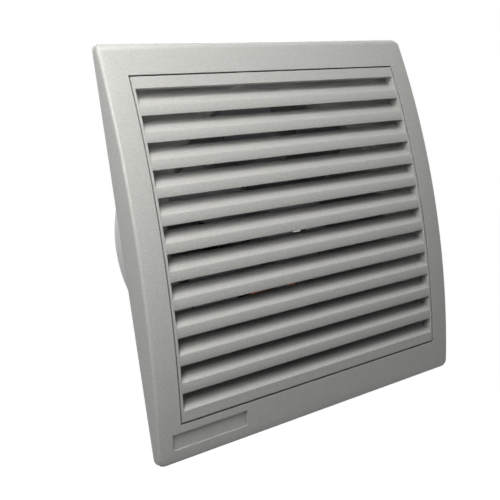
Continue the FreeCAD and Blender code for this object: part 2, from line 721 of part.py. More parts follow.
# Sintered bushes, a running fit on the shaft.
keep(turned("front_bush", ring("shaft_radius + bush_gap", "bush_radius", BUSH_FRONT, "stack_front")),
     "front_bush")
keep(turned("rear_bush", ring("shaft_radius + bush_gap", "bush_radius", STACK_REAR, BUSH_REAR)), "rear_bush")

# Motor screws: two long hexagon-headed screws through brackets and stack into the spider.
screws = []
for side in (-1, 1):
    across = f"{side} * {SCREW_X}"
    shank = rod(f"motor_screw_shank_{side + 2}", "motor_screw_radius", "spider_front",
                f"{REAR_BAR} + motor_screw_head / 2", across)
    head = hexagon(f"motor_screw_head_{side + 2}", "motor_screw_flats", REAR_BAR,
                   f"{REAR_BAR} + motor_screw_head", across)
    screws.append(fused(f"motor_screw_{side + 2}", [shank, head]))
keep(group("motor_screws", screws), "motor_screws")

# Terminal block: a moulded block on the base plate, left of the opening, with a brass insert in
# each of its ways.
BLOCK_FRONT = f"({BASE_FRONT} - terminal_depth)"
WAY_Y = f"({BASE_FRONT} - terminal_depth * 0.4)"
WAY_HALF = "(insert_width / 2 + insert_gap)"
block_solid = box("terminal_solid", f"{STRIP_X} - terminal_height / 2", f"{STRIP_X} + terminal_height / 2",
                  BLOCK_FRONT, BASE_FRONT, "terminal_low", BLOCK_HIGH)
ways = []
inserts = []
for index in range(SIZES["terminal_count"]):
    at = f"(terminal_low + terminal_cell * ({index} + 0.5))"
    ways.append(box(f"terminal_way_{index + 1}", f"{STRIP_X} - terminal_height", f"{STRIP_X} + terminal_height",
                    f"{WAY_Y} - {WAY_HALF}", f"{WAY_Y} + {WAY_HALF}", f"{at} - {WAY_HALF}",
                    f"{at} + {WAY_HALF}"))
    ways.append(rod(f"terminal_well_{index + 1}", "well_radius", f"{BLOCK_FRONT} - past", WAY_Y, STRIP_X, at))
    insert = box(f"insert_solid_{index + 1}", f"{STRIP_X} - insert_length / 2", f"{STRIP_X} + insert_length / 2",
                 f"{WAY_Y} - insert_width / 2", f"{WAY_Y} + insert_width / 2",
                 f"{at} - insert_width / 2", f"{at} + insert_width / 2")
    bore = cross_rod(f"insert_bore_{index + 1}", "insert_bore", f"{STRIP_X} - insert_length",
                     f"{STRIP_X} + insert_length", WAY_Y, at)
    inserts.append(cut(f"insert_{index + 1}", insert, [bore]))
keep(cut("terminal_block", block_solid, ways), "terminal_block")
keep(group("terminal_inserts", inserts), "terminal_inserts")

# Cable grommet: a soft ring with a groove that grips the base plate's edge.
grommet = turned("cable_grommet", [
    ("grommet_bore", f"{BASE_FRONT} - grommet_flange"),
    ("grommet_radius", f"{BASE_FRONT} - grommet_flange"),
    ("grommet_radius", BASE_FRONT),
    ("grommet_radius - grommet_groove", BASE_FRONT),
    ("grommet_radius - grommet_groove", "0"),
    ("grommet_bore", "0"),
])
bind(grommet, Placement__Base__x=STRIP_X, Placement__Base__z=GROMMET_Z)
keep(grommet, "cable_grommet")

# Cable saddle: a small bridge over the cable's place.
saddle_low = f"({SADDLE_Z} - saddle_width / 2)"
saddle_high = f"({SADDLE_Z} + saddle_width / 2)"
saddle_solid = box("saddle_solid", f"{STRIP_X} - saddle_span / 2", f"{STRIP_X} + saddle_span / 2",
                   f"{BASE_FRONT} - saddle_height", BASE_FRONT, saddle_low, saddle_high)
saddle_way = upright_rod("saddle_way", "cable_radius", f"{saddle_low} - past", f"{saddle_high} + past",
                         STRIP_X, f"{BASE_FRONT} - cable_radius * 0.2")
keep(cut("cable_saddle", saddle_solid, [saddle_way]), "cable_saddle")

# Shutter frame: a disc in the spigot's mouth with a window and two pivot lugs for each flap.
DISC_R = f"({SPIGOT_IN} - shutter_gap)"
DISC_REAR = "(shutter_front + shutter_thick)"
LEAF_FRONT = f"({DISC_REAR} + flap_seat_gap)"
PIVOT_Y = f"({LEAF_FRONT} + pivot_radius)"
HOLE_HALF = "(pivot_radius + pivot_gap)"
LUG_OUT = f"({HOLE_HALF} + lug_wall)"
disc = rod("shutter_disc", DISC_R, "shutter_front", DISC_REAR)
windows = []
lugs = []
lug_holes = []
flaps = []
for index in range(SIZES["flap_count"]):
    middle = f"(({index} - (flap_count - 1) / 2) * flap_pitch)"
    pivot_z = f"({middle} + flap_rise)"
    far = f"(abs({middle}) + flap_rise + {LUG_OUT})"
    side_out = f"sqrt(({DISC_R} - lug_inset) ^ 2 - {far} ^ 2)"
    flap_x = f"({side_out} - lug_thick - lug_gap)"
    window_x = f"({flap_x} - flap_overlap)"
    flap_low = f"({pivot_z} - flap_pitch + {LUG_OUT} + flap_clear)"
    windows.append(box(f"window_{index + 1}", f"-{window_x}", window_x, "shutter_front - past",
                       f"{DISC_REAR} + past", f"{flap_low} + flap_overlap",
                       f"{pivot_z} - pivot_radius - flap_overlap"))
    for side in (-1, 1):
        ends = sorted((f"{side} * ({flap_x} + lug_gap)", f"{side} * {side_out}"), key=number_of)
        lugs.append(box(f"lug_{index + 1}_{side + 2}", ends[0], ends[1], f"{DISC_REAR} - shutter_thick / 2",
                        f"{PIVOT_Y} + {LUG_OUT}", f"{pivot_z} - {LUG_OUT}", f"{pivot_z} + {LUG_OUT}"))
    reach_x = f"({flap_x} + lug_gap + lug_thick)"
    lug_holes.append(box(f"lug_hole_{index + 1}", f"-{reach_x} - past", f"{reach_x} + past",
                         f"{PIVOT_Y} - {HOLE_HALF}", f"{PIVOT_Y} + {HOLE_HALF}", f"{pivot_z} - {HOLE_HALF}",
                         f"{pivot_z} + {HOLE_HALF}"))
    pivot = cross_rod(f"flap_pivot_{index + 1}", "pivot_radius", f"-({reach_x} - lug_end_gap)",
                      f"{reach_x} - lug_end_gap", PIVOT_Y, pivot_z)
    leaf = box(f"flap_leaf_{index + 1}", f"-{flap_x}", flap_x, LEAF_FRONT, f"{LEAF_FRONT} + flap_thick",
               flap_low, pivot_z)
    flaps.append(fused(f"flap_{index + 1}", [leaf, pivot]))
keep(cut("shutter_frame", fused("shutter_frame_solid", [disc] + lugs), windows + lug_holes), "shutter_frame")
for index, flap in enumerate(flaps):
    keep(flap, f"shutter_flap_{index + 1}")

doc.recompute()

for item in doc.Objects:
    if "Invalid" in item.State or "Error" in item.State:
        raise RuntimeError(f"{item.Label} has not been made")
for item in nodes:
    if item.Shape.isNull() or not item.Shape.isValid():
        raise RuntimeError(f"{item.Label} has no valid shape")
for item in nodes:
    item.Shape.exportStep(f"parts/{item.Label}.step")
    size = item.Shape.BoundBox
    print(item.Label, len(item.Shape.Solids), "solids", round(item.Shape.Volume), "mm3",
          [round(value, 1) for value in (size.XMin, size.XMax, size.YMin, size.YMax, size.ZMin, size.ZMax)])
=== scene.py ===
import json
import math

import bmesh
import bpy
from mathutils import Matrix, Quaternion, Vector


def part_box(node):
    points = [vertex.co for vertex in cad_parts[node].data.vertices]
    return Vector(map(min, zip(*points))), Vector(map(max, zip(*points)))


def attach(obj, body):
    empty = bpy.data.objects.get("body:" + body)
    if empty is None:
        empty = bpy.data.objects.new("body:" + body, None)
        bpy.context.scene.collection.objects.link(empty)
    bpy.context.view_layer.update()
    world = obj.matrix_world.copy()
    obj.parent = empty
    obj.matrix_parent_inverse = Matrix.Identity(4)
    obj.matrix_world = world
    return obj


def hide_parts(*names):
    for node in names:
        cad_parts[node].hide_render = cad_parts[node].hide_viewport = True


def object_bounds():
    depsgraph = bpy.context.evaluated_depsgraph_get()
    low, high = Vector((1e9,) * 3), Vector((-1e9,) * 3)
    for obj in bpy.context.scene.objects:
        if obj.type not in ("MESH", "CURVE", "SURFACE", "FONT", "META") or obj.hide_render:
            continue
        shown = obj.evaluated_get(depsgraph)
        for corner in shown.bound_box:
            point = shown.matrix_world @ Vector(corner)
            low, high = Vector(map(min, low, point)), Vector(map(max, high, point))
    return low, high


# The louvred extractor fan as it hangs on its wall. The front faces -Y, the duct side +Y, and the
# pieces follow in the order in which the fan is put together, from the wall plate to the shutter.
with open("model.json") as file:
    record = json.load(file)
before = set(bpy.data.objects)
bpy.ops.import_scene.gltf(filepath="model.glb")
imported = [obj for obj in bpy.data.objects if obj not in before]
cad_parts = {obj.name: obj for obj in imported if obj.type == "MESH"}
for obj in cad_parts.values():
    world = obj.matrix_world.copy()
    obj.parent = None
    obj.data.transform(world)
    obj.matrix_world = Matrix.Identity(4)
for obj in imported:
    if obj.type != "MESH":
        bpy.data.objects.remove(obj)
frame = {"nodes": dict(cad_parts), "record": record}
SIZE_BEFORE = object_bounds()

# The view: the front seen from its left at eye level, with the camera rolled so that the panel
# leans to the right in the picture.
VIEW_PLACE = Vector((-0.2583, -0.3335, 0.01715))
VIEW_AZIMUTH = math.radians(34.3)
VIEW_RISE = math.radians(0.33)
VIEW_ROLL = math.radians(-8.6)
VIEW_LENS = 55.96
VIEW_SENSOR = 36
VIEW_SHIFT = (0.0312, -0.1064)
lens = bpy.data.cameras.new("view")
lens.lens = VIEW_LENS
lens.sensor_width = VIEW_SENSOR
lens.shift_x, lens.shift_y = VIEW_SHIFT
camera = bpy.data.objects.new("view", lens)
camera.location = VIEW_PLACE
ahead = Vector((math.sin(VIEW_AZIMUTH) * math.cos(VIEW_RISE),
                math.cos(VIEW_AZIMUTH) * math.cos(VIEW_RISE), math.sin(VIEW_RISE)))
camera.rotation_mode = "QUATERNION"
camera.rotation_quaternion = ahead.to_track_quat("-Z", "Y") @ Quaternion((0, 0, 1), VIEW_ROLL)
bpy.context.scene.collection.objects.link(camera)
bpy.context.scene.camera = camera
bpy.context.scene.view_settings.view_transform = "Standard"

# The studio: a pale floor well below the fan and a sky that is bright overhead and dim below.
# The eye, gloss and glass see both as plain white, and the floor keeps the fan's shadow.
FLOOR_DROP = 0.34
FLOOR_SPAN = 6.0
FLOOR_SIDES = 96
FLOOR_GLOW = 0.97
FLOOR_SHADE = (0.25, 0.25, 0.25, 1)
SKY_LOW = (0.05, 0.05, 0.05, 1)
SKY_HIGH = (0.92, 0.95, 1, 1)
SKY_STOPS = (0.30, 0.85)
SKY_POWER = 0.14


def added(tree, kind, **values):
    """A new shader node with some inputs set. An underscore in a name stands for a space."""
    node = tree.nodes.new("ShaderNode" + kind)
    for label, value in values.items():
        node.inputs[label.replace("_", " ")].default_value = value
    return node


def seen_straight(tree):
    """1 where a surface or the sky is seen by the eye, in gloss or through glass."""
    path = added(tree, "LightPath")
    seen = path.outputs["Is Camera Ray"]
    for way in ("Is Glossy Ray", "Is Transmission Ray"):
        either = added(tree, "Math")
        either.operation = "MAXIMUM"
        tree.links.new(seen, either.inputs[0])
        tree.links.new(path.outputs[way], either.inputs[1])
        seen = either.outputs[0]
    return seen


bed = bmesh.new()
bmesh.ops.create_circle(bed, cap_ends=True, segments=FLOOR_SIDES, radius=FLOOR_SPAN)
bmesh.ops.translate(bed, verts=bed.verts, vec=(0, 0, SIZE_BEFORE[0][2] - FLOOR_DROP))
floor_mesh = bpy.data.meshes.new("floor")
bed.to_mesh(floor_mesh)
bed.free()
floor = bpy.data.objects.new("floor", floor_mesh)
bpy.context.scene.collection.objects.link(floor)
floor_paint = bpy.data.materials.new("pale_floor")
floor_paint.use_nodes = True
tree = floor_paint.node_tree
tree.nodes.clear()
matt = added(tree, "BsdfDiffuse", Color=FLOOR_SHADE)
glow = added(tree, "Emission", Strength=FLOOR_GLOW)
pale = added(tree, "AddShader")
tree.links.new(matt.outputs[0], pale.inputs[0])
tree.links.new(glow.outputs[0], pale.inputs[1])
floor_mix = added(tree, "MixShader")
tree.links.new(seen_straight(tree), floor_mix.inputs["Fac"])
tree.links.new(matt.outputs[0], floor_mix.inputs[1])
tree.links.new(pale.outputs[0], floor_mix.inputs[2])
floor_out = added(tree, "OutputMaterial")
tree.links.new(floor_mix.outputs[0], floor_out.inputs["Surface"])
floor.data.materials.append(floor_paint)

sky = bpy.data.worlds.new("studio")
bpy.context.scene.world = sky
sky.use_nodes = True
tree = sky.node_tree
tree.nodes.clear()
direction = added(tree, "TexCoord")
height = added(tree, "SeparateXYZ")
lift = added(tree, "MapRange", From_Min=-1)
grade = added(tree, "ValToRGB")
for stop, place, shade in zip(grade.color_ramp.elements, SKY_STOPS, (SKY_LOW, SKY_HIGH)):
    stop.position = place
    stop.color = shade
dome = added(tree, "Background", Strength=SKY_POWER)
plain = added(tree, "Background", Color=(1, 1, 1, 1))
sky_mix = added(tree, "MixShader")
sky_out = added(tree, "OutputWorld")
tree.links.new(direction.outputs["Generated"], height.inputs[0])
tree.links.new(height.outputs["Z"], lift.inputs["Value"])
tree.links.new(lift.outputs["Result"], grade.inputs["Fac"])
tree.links.new(grade.outputs["Color"], dome.inputs["Color"])
tree.links.new(seen_straight(tree), sky_mix.inputs["Fac"])
tree.links.new(dome.outputs[0], sky_mix.inputs[1])
tree.links.new(plain.outputs[0], sky_mix.inputs[2])
tree.links.new(sky_mix.outputs[0], sky_out.inputs["Surface"])

# Four soft lamps: the key above the front, two from the left, and one behind for the duct side.
# Each has its name, place, aim, width, length, power and colour.
WARM_WHITE = (1, 0.99, 0.97)
COOL_WHITE = (0.80, 0.90, 1)
LAMPS = [
    ("key", (-0.12, -0.21, 0.36), (0, 0, 0.03), 0.30, 0.18, 1.3, WARM_WHITE),
    ("side", (-0.75, 0.05, 0.35), (-0.1, 0, 0.05), 0.4, 0.5, 0.25, COOL_WHITE),
    ("left", (-0.26, -0.20, 0.14), (-0.08, 0, 0.02), 0.12, 0.16, 0.6, WARM_WHITE),
    ("back", (0.35, 0.65, 0.45), (0, 0.03, 0), 0.6, 0.5, 6.0, WARM_WHITE),
]
for name, place, aim, width, length, power, colour in LAMPS:
    bulb = bpy.data.lights.new(name, "AREA")
    bulb.shape = "RECTANGLE"
    bulb.size = width
    bulb.size_y = length
    bulb.energy = power
    bulb.color = colour
    lamp = bpy.data.objects.new(name, bulb)
    lamp.location = place
    lamp.rotation_mode = "QUATERNION"
    lamp.rotation_quaternion = (Vector(aim) - Vector(place)).to_track_quat("-Z", "Y")
    bpy.context.scene.collection.objects.link(lamp)

# Base plate: a flat white moulding screwed to the wall, with a round opening for the spigot and
# four barbed tabs on which the front cover snaps. Like every plain moulding or casting in the fan,
# it keeps its CAD form, cleaned, with its edges softly rounded.
SHELL_WHITE = (0.80, 0.81, 0.80, 1)
BODY_OF = {}
for body_name, members in frame["record"]["behaviour"]["bodies"].items():
    for member in members:
        BODY_OF[member] = body_name
SMOOTH_LIMIT = math.radians(28)
EDGE_LIMIT = math.radians(35)
EDGE_STEPS = 2
FLAT_LIMIT = math.radians(0.5)
NEAR = 1e-6


def seated(piece, node):
    """Puts a piece on a node's body, in the node's place."""
    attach(piece, BODY_OF[node])
    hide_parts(node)


def made(bed, name, material, edge=0.0, wall=0.0, wall_side=-1):
    """Turns a bmesh into a piece, shaded smooth but for its sharp edges. A wall thickness goes
    inwards or, at side 0, both ways, and an edge radius rounds what stays sharp."""
    bed.normal_update()
    for face in bed.faces:
        face.smooth = True
    for joint in bed.edges:
        joint.smooth = joint.calc_face_angle(0) < SMOOTH_LIMIT
    mesh = bpy.data.meshes.new(name)
    bed.to_mesh(mesh)
    bed.free()
    mesh.materials.append(material)
    piece = bpy.data.objects.new(name, mesh)
    bpy.context.scene.collection.objects.link(piece)
    if wall:
        thick = piece.modifiers.new("wall", "SOLIDIFY")
        thick.thickness = wall
        thick.offset = wall_side
        thick.use_even_offset = True
    if edge:
        soft = piece.modifiers.new("edges", "BEVEL")
        soft.width = edge
        soft.segments = EDGE_STEPS
        soft.limit_method = "ANGLE"
        soft.angle_limit = EDGE_LIMIT
        soft.harden_normals = True
    return piece


def cleaned(node, material, edge):
    """A CAD node's form as one clean mesh with softly rounded edges."""
    bed = bmesh.new()
    bed.from_mesh(frame["nodes"][node].data)
    bmesh.ops.remove_doubles(bed, verts=bed.verts, dist=NEAR)
    bmesh.ops.dissolve_limit(bed, angle_limit=FLAT_LIMIT, verts=bed.verts, edges=bed.edges)
    seated(made(bed, node + "_finished", material, edge), node)


def new_effect(name, inputs, outputs):
    """An empty shader node group with its sockets, its input node and its output node."""
    group = bpy.data.node_groups.new(name, "ShaderNodeTree")
    for label, kind in inputs:
        group.interface.new_socket(label, in_out="INPUT", socket_type="NodeSocket" + kind)
    for label, kind in outputs:
        group.interface.new_socket(label, in_out="OUTPUT", socket_type="NodeSocket" + kind)
    return group, group.nodes.new("NodeGroupInput"), group.nodes.new("NodeGroupOutput")


# Every finish shares three effects. The grain is made of small bumps all over, with a mask that
# runs with them.
GRAIN_HEIGHT = 0.0002
grain, given, result = new_effect("grain", [("Fineness", "Float"), ("Depth", "Float")],
                                  [("Mask", "Float"), ("Normal", "Vector")])
place = added(grain, "TexCoord")
speckle = added(grain, "TexNoise", Detail=3)
relief = added(grain, "Bump", Distance=GRAIN_HEIGHT)
grain.links.new(place.outputs["Object"], speckle.inputs["Vector"])
grain.links.new(given.outputs["Fineness"], speckle.inputs["Scale"])
grain.links.new(given.outputs["Depth"], relief.inputs["Strength"])
grain.links.new(speckle.outputs["Fac"], relief.inputs["Height"])
grain.links.new(speckle.outputs["Fac"], result.inputs["Mask"])
grain.links.new(relief.outputs["Normal"], result.inputs["Normal"])

# The drift is a tone that wanders slightly over the piece, as moulded plastic and cast metal do,
# by a spread about the given colour.
drift, given, result = new_effect("drift", [("Colour", "Color"), ("Spread", "Float"),
                                            ("Patches", "Float")], [("Colour", "Color")])
place = added(drift, "TexCoord")
cloud = added(drift, "TexNoise", Detail=4)
swing = added(drift, "Math")
swing.operation = "MULTIPLY_ADD"
middle = added(drift, "Math")
middle.operation = "MULTIPLY_ADD"
middle.inputs[1].default_value = -0.5
middle.inputs[2].default_value = 1
tone = added(drift, "HueSaturation")
drift.links.new(place.outputs["Object"], cloud.inputs["Vector"])
drift.links.new(given.outputs["Patches"], cloud.inputs["Scale"])
drift.links.new(given.outputs["Spread"], middle.inputs[0])
drift.links.new(cloud.outputs["Fac"], swing.inputs[0])
drift.links.new(given.outputs["Spread"], swing.inputs[1])
drift.links.new(middle.outputs[0], swing.inputs[2])
drift.links.new(swing.outputs[0], tone.inputs["Value"])
drift.links.new(given.outputs["Colour"], tone.inputs["Color"])
drift.links.new(tone.outputs["Color"], result.inputs["Colour"])

# The dust is a pale film that settles on what faces up, thicker in patches. It starts on a gentle
# slope and is full where the surface lies nearly flat.
DUST_PALE = (0.56, 0.54, 0.50, 1)
DUST_PATCHES = 45
DUST_SLOPE = (0.2, 0.9)
dust, given, result = new_effect("dust", [("Colour", "Color"), ("Amount", "Float")],
                                 [("Colour", "Color")])
place = added(dust, "TexCoord")
patches = added(dust, "TexNoise", Scale=DUST_PATCHES, Detail=5)
facing = added(dust, "SeparateXYZ")
slope = added(dust, "MapRange", From_Min=DUST_SLOPE[0], From_Max=DUST_SLOPE[1])
film = added(dust, "Math")
film.operation = "MULTIPLY"
share = added(dust, "Math")
share.operation = "MULTIPLY"
powder = added(dust, "Mix")
powder.data_type = "RGBA"
powder.inputs["B"].default_value = DUST_PALE
dust.links.new(place.outputs["Object"], patches.inputs["Vector"])
dust.links.new(place.outputs["Normal"], facing.inputs[0])
dust.links.new(facing.outputs["Z"], slope.inputs["Value"])
dust.links.new(slope.outputs["Result"], film.inputs[0])
dust.links.new(patches.outputs["Fac"], film.inputs[1])
dust.links.new(film.outputs[0], share.inputs[0])
dust.links.new(given.outputs["Amount"], share.inputs[1])
dust.links.new(share.outputs[0], powder.inputs["Factor"])
dust.links.new(given.outputs["Colour"], powder.inputs["A"])
dust.links.new(powder.outputs["Result"], result.inputs["Colour"])
TONE_PATCHES = 26


def placed_effect(tree, group, **values):
    """One of the shared effects in a material's tree, with its own values."""
    node = added(tree, "Group")
    node.node_tree = group
    for label, value in values.items():
        node.inputs[label].default_value = value
    return node


def effect_in(material, group):
    """The place in a material's tree where it uses one of the shared effects."""
    return next(node for node in material.node_tree.nodes
                if node.type == "GROUP" and node.node_tree == group)


def finish(name, colour, metallic, roughness, fineness, depth, spread, dusty, gloss_spread=0.08):
    """A material with a fine grain, a slightly drifting tone, settled dust and uneven gloss."""
    material = bpy.data.materials.new(name)
    material.use_nodes = True
    tree = material.node_tree
    skin = tree.nodes["Principled BSDF"]
    skin.inputs["Metallic"].default_value = metallic
    toned = placed_effect(tree, drift, Colour=colour, Spread=spread, Patches=TONE_PATCHES)
    dusted = placed_effect(tree, dust, Amount=dusty)
    grained = placed_effect(tree, grain, Fineness=fineness, Depth=depth)
    gloss = added(tree, "MapRange", To_Min=roughness - gloss_spread, To_Max=roughness + gloss_spread)
    tree.links.new(toned.outputs["Colour"], dusted.inputs["Colour"])
    tree.links.new(dusted.outputs["Colour"], skin.inputs["Base Color"])
    tree.links.new(grained.outputs["Mask"], gloss.inputs["Value"])
    tree.links.new(gloss.outputs["Result"], skin.inputs["Roughness"])
    tree.links.new(grained.outputs["Normal"], skin.inputs["Normal"])
    return material


shell_white = finish("shell_white", SHELL_WHITE, metallic=0, roughness=0.42, fineness=1800, depth=0.18,
                     spread=0.05, dusty=0.16)
cleaned("base_plate", shell_white, edge=0.00025)

# Spigot: a white moulded tube that flares into a shallow bell mouth. It is welded into the base
# plate's opening and goes into the duct.
cleaned("spigot_tube", shell_white, edge=0.0004)

# Motor spider: a small white plate on four arms, moulded in one. It is welded inside the spigot
# and carries the motor.
cleaned("motor_spider", shell_white, edge=0.0004)

# Terminal block: an ivory moulding on the base plate with two ways, each with a brass insert and
# a slotted steel screw that clamps the wire.
SCREW_RADIUS = 0.0017
SCREW_DROP = 0.0012
SCREW_SIDES = 32
DRIVER_SLOT = (0.0026, 0.0006)
SLOT_DEPTH = 0.0007
WAYS = 2
PATCH_REACH = 8
terminal_ivory = finish("terminal_ivory", (0.80, 0.78, 0.68, 1), metallic=0, roughness=0.38,
                        fineness=2200, depth=0.12, spread=0.05, dusty=0.2)
cleaned("terminal_block", terminal_ivory, edge=0.0002)
brass = finish("brass_insert", (0.70, 0.52, 0.22, 1), metallic=1, roughness=0.30, fineness=3000,
               depth=0.10, spread=0.10, dusty=0.1)
cleaned("terminal_inserts", brass, edge=0.00015)
bright_steel = finish("bright_steel", (0.62, 0.62, 0.62, 1), metallic=1, roughness=0.28,
                      fineness=2600, depth=0.08, spread=0.06, dusty=0.05)


def verts_in(parts):
    """The vertices among some parts of a bmesh."""
    return [part for part in parts if isinstance(part, bmesh.types.BMVert)]


def edges_in(parts):
    """The edges among some parts of a bmesh."""
    return [part for part in parts if isinstance(part, bmesh.types.BMEdge)]


def faces_within(bed, left, right, low, high, rear):
    """The faces whose middle lies between two places across, two heights, and before a depth."""
    found = []
    for face in bed.faces:
        centre = face.calc_center_median()
        if left < centre.x < right and low < centre.z < high and centre.y < rear:
            found.append(face)
    return found


def cut_at(bed, faces, place, normal):
    """Cuts some faces of a bmesh along a plane."""
    parts = list(faces)
    parts += dict.fromkeys(joint for face in faces for joint in face.edges)
    parts += dict.fromkeys(vert for face in faces for vert in face.verts)
    bmesh.ops.bisect_plane(bed, geom=parts, dist=NEAR, plane_co=place, plane_no=normal)


def sunk_patch(bed, left, right, low, high, rear, depth):
    """Cuts a rectangle out of what faces the room and pushes it back, with upright walls round
    it. Only the faces about it are cut."""
    width = (right - left) * PATCH_REACH
    height = (high - low) * PATCH_REACH
    for place, normal in (((left, 0, 0), (1, 0, 0)), ((right, 0, 0), (1, 0, 0)),
                          ((0, 0, low), (0, 0, 1)), ((0, 0, high), (0, 0, 1))):
        around = faces_within(bed, left - width, right + width, low - height, high + height, rear)
        cut_at(bed, around, place, normal)
    patch = faces_within(bed, left, right, low, high, rear)
    grown = bmesh.ops.extrude_face_region(bed, geom=patch)["geom"]
    bmesh.ops.translate(bed, verts=verts_in(grown), vec=(0, depth, 0))
    bmesh.ops.delete(bed, geom=patch, context="FACES")


block_low, block_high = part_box("terminal_block")
insert_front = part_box("terminal_inserts")[0][1]
way_pitch = (block_high[2] - block_low[2]) / WAYS
bed = bmesh.new()
for index in range(WAYS):
    top = Vector(((block_low[0] + block_high[0]) / 2, block_low[1] + SCREW_DROP,
                  block_low[2] + way_pitch * (index + 0.5)))
    depth = insert_front - top.y
    bmesh.ops.create_cone(bed, cap_ends=True, segments=SCREW_SIDES, radius1=SCREW_RADIUS,
                          radius2=SCREW_RADIUS, depth=depth,
                          matrix=Matrix.Translation(top + Vector((0, depth / 2, 0)))
                          @ Matrix.Rotation(math.radians(90), 4, "X"))
    sunk_patch(bed, top.x - DRIVER_SLOT[0] / 2, top.x + DRIVER_SLOT[0] / 2,
               top.z - DRIVER_SLOT[1] / 2, top.z + DRIVER_SLOT[1] / 2, top.y + NEAR, SLOT_DEPTH)
screws = made(bed, "terminal_screws", bright_steel)
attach(screws, BODY_OF["terminal_block"])

# Cable entry: a black rubber grommet in the base plate's hole, and a white saddle that grips the
# cable beside it.
rubber = finish("grommet_rubber", (0.03, 0.03, 0.03, 1), metallic=0, roughness=0.62, fineness=1500,
                depth=0.25, spread=0.15, dusty=0.25)
cleaned("cable_grommet", rubber, edge=0.00035)
cleaned("cable_saddle", shell_white, edge=0.0003)

# Stator: a stack of stamped steel sheets, seen as fine lines along its edges, with a black moulded
# bobbin on its lower limb.
SHEET_THICK = 0.0005
WAVES_PER_SCALE = 20
SHEET_WOBBLE = 0.4
SHEET_RELIEF = 0.6
lamination = finish("lamination", (0.22, 0.22, 0.23, 1), metallic=0.9, roughness=0.45, fineness=900,
                    depth=0.2, spread=0.12, dusty=0.1)
tree = lamination.node_tree
place = added(tree, "TexCoord")
sheets = added(tree, "TexWave", Scale=1 / (SHEET_THICK * WAVES_PER_SCALE), Distortion=SHEET_WOBBLE)
sheets.bands_direction = "Y"
ridges = added(tree, "Bump", Strength=SHEET_RELIEF, Distance=GRAIN_HEIGHT)
tree.links.new(place.outputs["Object"], sheets.inputs["Vector"])
tree.links.new(sheets.outputs["Fac"], ridges.inputs["Height"])
tree.links.new(effect_in(lamination, grain).outputs["Normal"], ridges.inputs["Normal"])
tree.links.new(ridges.outputs["Normal"], tree.nodes["Principled BSDF"].inputs["Normal"])
cleaned("stator_core", lamination, edge=0.0003)
bobbin_black = finish("bobbin_black", (0.035, 0.035, 0.04, 1), metallic=0, roughness=0.45,
                      fineness=1600, depth=0.15, spread=0.1, dusty=0.2)
cleaned("coil_bobbin", bobbin_black, edge=0.00025)

# Coil winding: enamelled copper wire, wound in neat turns round the bobbin between its flanges.
# An outline with rounded corners is drawn along the limb and dips between the turns.
WIRE_PITCH = 0.0009
WIRE_DIP = 0.00022
WIND_CORNER = 0.003
copper = finish("copper_wire", (0.62, 0.24, 0.10, 1), metallic=0.85, roughness=0.30, fineness=2400,
                depth=0.05, spread=0.14, dusty=0.05)


def rounded(bed, parts, radius, steps, affect="EDGES"):
    """Rounds some edges of a bmesh, or some corners of an outline."""
    bmesh.ops.bevel(bed, geom=parts, offset=radius, segments=steps, profile=0.5, affect=affect,
                    material=-1, offset_type="OFFSET")


wind_low, wind_high = (Vector(corner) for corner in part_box("coil_winding"))
middle = (wind_low + wind_high) / 2
span = wind_high - wind_low
bed = bmesh.new()
bmesh.ops.create_grid(bed, x_segments=1, y_segments=1, size=0.5)
bmesh.ops.transform(bed, verts=bed.verts, matrix=Matrix.Translation((wind_low.x, middle.y, middle.z))
                    @ Matrix.Rotation(math.radians(90), 4, "Y")
                    @ Matrix.Diagonal((span.z, span.y, 1, 1)))
rounded(bed, bed.verts[:], WIND_CORNER, 5, "VERTICES")
turns = round(span.x / WIRE_PITCH)
step = span.x / (2 * turns)
rim = bed.edges[:]
for index in range(2 * turns):
    grown = bmesh.ops.extrude_edge_only(bed, edges=rim)["geom"]
    ring = verts_in(grown)
    rim = edges_in(grown)
    dip = WIRE_DIP if index % 2 else -WIRE_DIP
    factor = (1, 1 + 2 * dip / span.y, 1 + 2 * dip / span.z)
    bmesh.ops.translate(bed, verts=ring, vec=(step, 0, 0))
    bmesh.ops.scale(bed, verts=ring, vec=factor, space=Matrix.Translation(-middle))
bmesh.ops.contextual_create(bed, geom=rim)
bmesh.ops.recalc_face_normals(bed, faces=bed.faces)
seated(made(bed, "coil_turns", copper), "coil_winding")

# Bearing brackets: two die-cast zinc bars, each with a boss that holds a bronze bush. Long
# hexagon-headed steel screws clamp them and the stator to the spider.
cast_zinc = finish("cast_zinc", (0.50, 0.51, 0.52, 1), metallic=0.9, roughness=0.48, fineness=700,
                   depth=0.35, spread=0.10, dusty=0.1)
for node in ("front_bearing_bracket", "rear_bearing_bracket"):
    cleaned(node, cast_zinc, edge=0.0005)
bronze = finish("bush_bronze", (0.46, 0.32, 0.17, 1), metallic=0.9, roughness=0.42, fineness=2000,
                depth=0.25, spread=0.12, dusty=0.05)
for node in ("front_bush", "rear_bush"):
    cleaned(node, bronze, edge=0.0002)
cleaned("motor_screws", bright_steel, edge=0.0002)

# Rotor: a cast aluminium cage round a steel stack, pressed on a ground steel shaft that runs in
# the two bushes.
rotor_metal = finish("rotor_metal", (0.56, 0.57, 0.58, 1), metallic=0.95, roughness=0.36,
                     fineness=1200, depth=0.15, spread=0.08, dusty=0.05)
cleaned("rotor_core", rotor_metal, edge=0.0004)
cleaned("motor_shaft", bright_steel, edge=0.0004)

